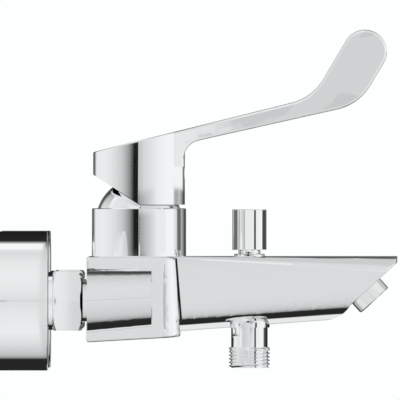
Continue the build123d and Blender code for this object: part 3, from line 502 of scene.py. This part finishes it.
# Lever: a long arm lever cast in one piece in zinc, polished and plated, and clamped on the spindle's square
# by a steel grub screw. The moulded plug in front of the screw shows hot in red and cold in blue.
keep_node("lever", chrome)
keep_node("lever_grub_screw", steel)

indicator, shader, place = material("hot_and_cold")
hot_side = place.node("ShaderNodeSeparateXYZ", output="Y", inputs={"Vector": place}).step(-0.1 * mm, 0.1 * mm)
mould_grain = clouds(place, 900.0, 2.0)
set_sockets(shader, {"Base Color": mixed(hot_side, (0.02, 0.08, 0.45), (0.55, 0.015, 0.02)),
                     "Roughness": 0.2 + 0.12 * mould_grain})
keep_node("indicator_plug", indicator)

# Diverter: a pull rod through a plated gland in the top of the spout, with the knob screwed on above and the
# valve piston with its two rubber washers below; a wire spring returns it.
diverter_x = 127.2 * mm
knob_foot = 25.5 * mm
knob_top = 46.2 * mm
knob_radius = 8.7 * mm
knob_edge = 0.35 * mm
recess_top = 36.2 * mm
recess_radius = 5.75 * mm
rod_hole_top = 44 * mm
rod_hole_radius = 2.5 * mm

keep_node("diverter_gland", chrome)
keep_node("diverter_rod", steel)
keep_node("diverter_spring", steel)
for name in ("gland_o_ring", "rod_seal", "diverter_washer_lower", "diverter_washer_upper", "outlet_o_ring"):
    keep_node(name, black_rubber)
for name in ("diverter_piston", "diverter_seat_ring"):
    keep_node(name, raw_brass)

knob_outline = broken_edges([
    (knob_foot, recess_radius), (knob_foot, knob_radius), (knob_top, knob_radius), (knob_top, 0),
    (rod_hole_top, 0), (rod_hole_top, rod_hole_radius), (recess_top, rod_hole_radius),
    (recess_top, recess_radius)], knob_edge)
knob_outline[:, 1] = np.maximum(knob_outline[:, 1], 0)
mesh = tube_mesh("pull_knob", turned(knob_outline, (diverter_x, 0, 0), (0, 0, 1)))
knob = finished("pull_knob", mesh, chrome, "diverter")
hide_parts("diverter_knob")


# Cards of paper round the knob and the hose outlet, as a photographer sets them: a pale one in front, and
# narrow dark ones that draw the lines of the small cylinders. Only reflections see them.
def card(name, x, y, z, tone):
    """Upright card over the ranges x, y and z in mm, flat in x or y, that gives off the tone."""
    mesh = bpy.data.meshes.new(name)
    corners = np.array([(x[0], y[0], z[0]), (x[1], y[1], z[0]), (x[1], y[1], z[1]), (x[0], y[0], z[1])])
    mesh.from_pydata(corners * mm, [], [(0, 1, 2, 3)])
    made = bpy.data.materials.new(name)
    made.use_nodes = True
    made.node_tree.nodes.clear()
    paper = Signal(made.node_tree)
    glow = paper.node("ShaderNodeEmission", inputs={"Color": (tone, tone, tone, 1), "Strength": 1.0})
    paper.node("ShaderNodeOutputMaterial", inputs={"Surface": glow})
    mesh.materials.append(made)
    piece = bpy.data.objects.new(name, mesh)
    scene.collection.objects.link(piece)
    for ray in ("camera", "diffuse", "transmission", "shadow"):
        setattr(piece, "visible_" + ray, False)


beside_knob = (25.2, 46.4)
beside_neck = (-34.5, -11.5)
card("pale_card", (104, 151), (-45, -45), (24.5, 47), 0.86)
card("knob_line", (133.2, 136.2), (-14, -14), beside_knob, 0.02)
card("knob_left", (112, 112), (-6.6, 3.0), beside_knob, 0.15)
card("knob_right", (142.5, 142.5), (-4.5, 6.0), beside_knob, 0.07)
card("neck_line", (133.4, 136.0), (-15, -15), beside_neck, 0.02)

# Hose outlet: plated brass nipple screwed into the post, with a pipe thread for the shower hose. A plastic
# check valve with a steel spring is pushed into its lower bore.
outlet_end = -34.6 * mm
neck_foot = -24 * mm
neck_top = -14 * mm
neck_radius = 9.3 * mm
screw_radius = 8.6 * mm
screw_top = -8 * mm
valve_bore = 7.5 * mm
valve_seat = -19 * mm
water_bore = 6.5 * mm


def outlet_surface():
    """Tube of circles along Z. The outside radius runs straight between the stations, less the thread's
    depth below the neck, and the bore and both ends close the outline."""
    stations = np.array([
        # z, outer radius
        (outlet_end, 9.6 * mm), (outlet_end + 0.6 * mm, pipe_radius), (neck_foot - 0.3 * mm, pipe_radius),
        (neck_foot, neck_radius), (neck_top, neck_radius), (neck_top + 0.1 * mm, screw_radius),
        (screw_top - 0.8 * mm, screw_radius), (screw_top, screw_radius - 1 * mm)])
    z, outer = stations.T
    rings = np.unique(np.concatenate([np.arange(outlet_end, neck_foot + 0.1 * mm, 0.15 * mm), z]))
    q = np.linspace(0, 2 * np.pi, 96, endpoint=False)[None, :]
    along = rings[:, None]
    radius = np.interp(along, z, outer)
    radius = radius - thread_depth(along, q, outlet_end - 1 * mm, neck_foot - 0.3 * mm, pipe_pitch, pipe_cut)
    bore = np.array([(screw_top, water_bore), (valve_seat, water_bore), (valve_seat, valve_bore),
                     (outlet_end, valve_bore)])
    along = np.concatenate([along, bore[:, :1]]) + 0 * q
    radius = np.concatenate([radius, bore[:, 1:] + 0 * q])
    return np.stack([diverter_x + radius * np.cos(q), radius * np.sin(q), along], axis=-1)


outlet = finished("hose_outlet", tube_mesh("hose_outlet", outlet_surface()), chrome, "body")
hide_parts("hose_outlet_nipple")
for name in ("check_valve_housing", "check_valve_poppet"):
    keep_node(name, white_plastic)
keep_node("check_valve_spring", steel)

# Aerator: a plated brass ring, turned and screwed into the spout's cut end, with a rubber washer behind it
# and a moulded plastic insert inside that breaks the water into jets.
keep_node("aerator_housing", chrome)
keep_node("aerator_washer", black_rubber)
keep_node("aerator_insert", white_plastic)

# Floor: a pale sheet well below the mixer, which hangs on its wall. Chrome doesn't show it, because the
# studio's ground is drawn in the world.
floor_drop = 0.09
floor_reach = 3.0
floor_z = cad_low.z - floor_drop
mesh = bpy.data.meshes.new("floor")
mesh.from_pydata([(x, y, floor_z) for x, y in ((-floor_reach, -floor_reach), (floor_reach, -floor_reach),
                                               (floor_reach, floor_reach), (-floor_reach, floor_reach))],
                 [], [(0, 1, 2, 3)])
floor = bpy.data.objects.new("floor", mesh)
scene.collection.objects.link(floor)
pale, shader = material("pale_floor")[:2]
set_sockets(shader, {"Base Color": (0.9, 0.9, 0.9, 1), "Roughness": 0.6})
mesh.materials.append(pale)
floor.visible_glossy = False
